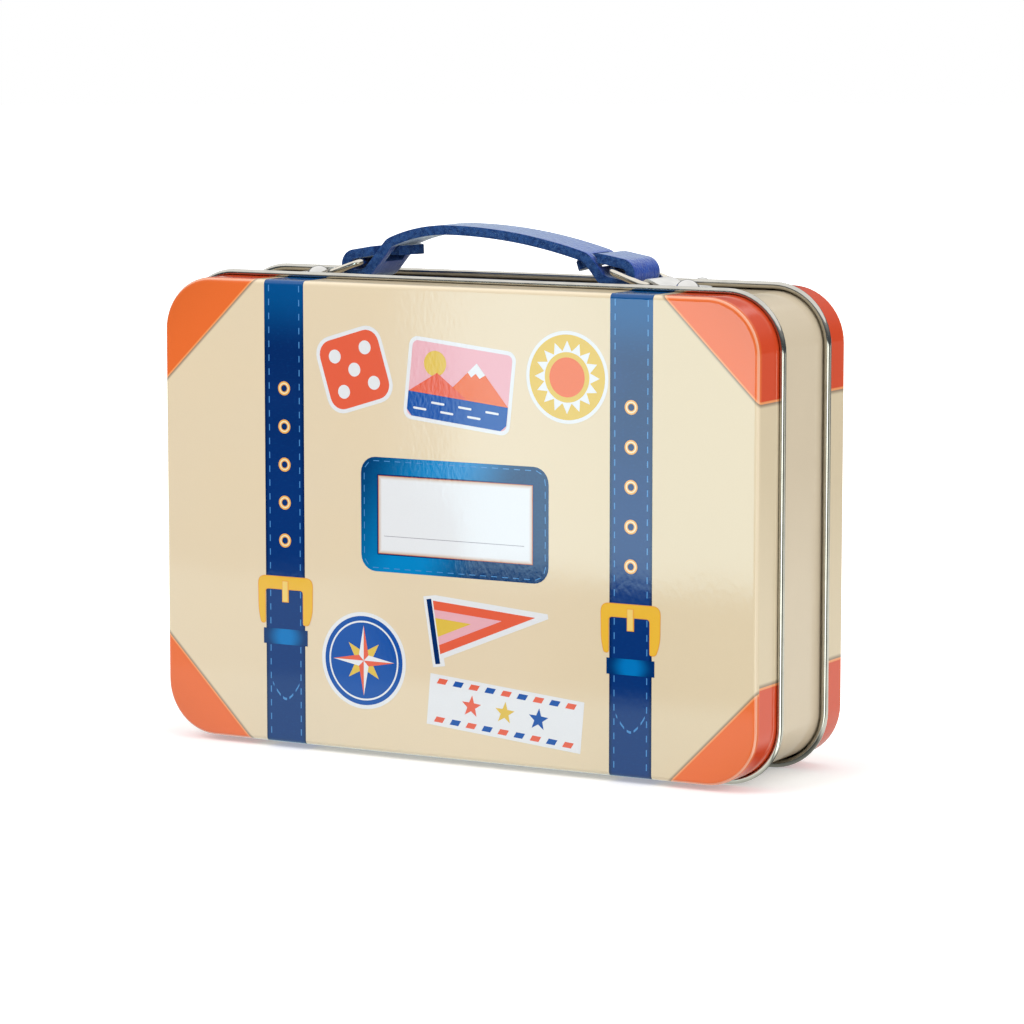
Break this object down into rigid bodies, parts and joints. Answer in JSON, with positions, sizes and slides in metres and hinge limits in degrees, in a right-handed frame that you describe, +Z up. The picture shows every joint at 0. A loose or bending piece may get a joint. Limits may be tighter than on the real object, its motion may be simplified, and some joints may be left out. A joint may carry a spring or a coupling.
{
  "type": "travel dice game case",
  "caption": "Suitcase-shaped tinplate game case with a pull-off cover, buckled leather carry strap on wire rings, and a formed tray holding dice, a score pad and a pencil.",
  "frame": {"origin": "middle of the footprint, on the plane that the two covers' beads stand on", "axes": "+X to the right along the case's width, -Y out of the printed front cover, +Z up towards the carry strap"},
  "size_m": [0.173, 0.049, 0.1343],
  "materials": {
    "printed_cover": "gloss print on tinplate, bare steel bead",
    "band_lacquer": "gloss cream lacquer",
    "nickel_plate": "polished nickel plate",
    "rivet_steel": "polished steel",
    "strap_leather": "dyed blue leather, raw cut edges",
    "tray_plastic": "formed sheet, satin",
    "die_plastic": "polished",
    "pad_paper": "uncoated paper",
    "pad_board": "grey-brown board",
    "pad_tape": "cloth tape",
    "pencil_wood": "painted wood, bare at the point",
    "pencil_graphite": "graphite",
    "pencil_brass": "thin collar",
    "pencil_rubber": "soft"
  },
  "bodies": {
    "case": {"rear_cover": "printed_cover", "body_band": "band_lacquer", "cover_rivets": "rivet_steel", "tab_left": "nickel_plate", "tab_right": "nickel_plate", "rivet_left": "rivet_steel", "rivet_right": "rivet_steel", "insert_tray": "tray_plastic"},
    "lid": {"front_cover": "printed_cover"},
    "strap": {"handle_strap": "strap_leather"},
    "ring_left": {"ring_left": "nickel_plate"},
    "ring_right": {"ring_right": "nickel_plate"},
    "pad": {"pad_sheets": "pad_paper", "pad_backing": "pad_board", "pad_binding": "pad_tape"},
    "pencil": {"pencil_barrel": "pencil_wood", "pencil_lead": "pencil_graphite", "pencil_ferrule": "pencil_brass", "pencil_eraser": "pencil_rubber"},
    "die_1": {"die_1": "die_plastic"},
    "die_2": {"die_2": "die_plastic"},
    "die_3": {"die_3": "die_plastic"},
    "die_4": {"die_4": "die_plastic"},
    "die_5": {"die_5": "die_plastic"}
  },
  "joints": [
    {"name": "lid_pull", "type": "slide", "parent": "case", "child": "lid", "axis": [0, -1, 0], "range_m": [0, 0.06]},
    {"name": "handle_lift", "type": "slide", "parent": "case", "child": "strap", "axis": [0, 0, 1], "range_m": [0, 0.0048]},
    {"name": "ring_left_swing", "type": "hinge", "parent": "case", "child": "ring_left", "pos_m": [-0.0455, 0, 0.12101], "axis": [0, -1, 0], "range_deg": [0, 27.51]},
    {"name": "ring_right_swing", "type": "hinge", "parent": "case", "child": "ring_right", "pos_m": [0.0455, 0, 0.12101], "axis": [0, 1, 0], "range_deg": [0, 27.51]},
    {"name": "pad_lift", "type": "slide", "parent": "case", "child": "pad", "axis": [0, -1, 0], "range_m": [0, 0.012]},
    {"name": "pencil_lift", "type": "slide", "parent": "case", "child": "pencil", "axis": [0, -1, 0], "range_m": [0, 0.012]},
    {"name": "die_1_lift", "type": "slide", "parent": "case", "child": "die_1", "axis": [0, -1, 0], "range_m": [0, 0.0135]},
    {"name": "die_2_lift", "type": "slide", "parent": "case", "child": "die_2", "axis": [0, -1, 0], "range_m": [0, 0.0135]},
    {"name": "die_3_lift", "type": "slide", "parent": "case", "child": "die_3", "axis": [0, -1, 0], "range_m": [0, 0.0135]},
    {"name": "die_4_lift", "type": "slide", "parent": "case", "child": "die_4", "axis": [0, -1, 0], "range_m": [0, 0.0135]},
    {"name": "die_5_lift", "type": "slide", "parent": "case", "child": "die_5", "axis": [0, -1, 0], "range_m": [0, 0.0135]}
  ],
  "couplings": [
    {"joint": "ring_left_swing", "follows": "handle_lift", "rad_per_m": 100},
    {"joint": "ring_right_swing", "follows": "handle_lift", "rad_per_m": 100}
  ]
}
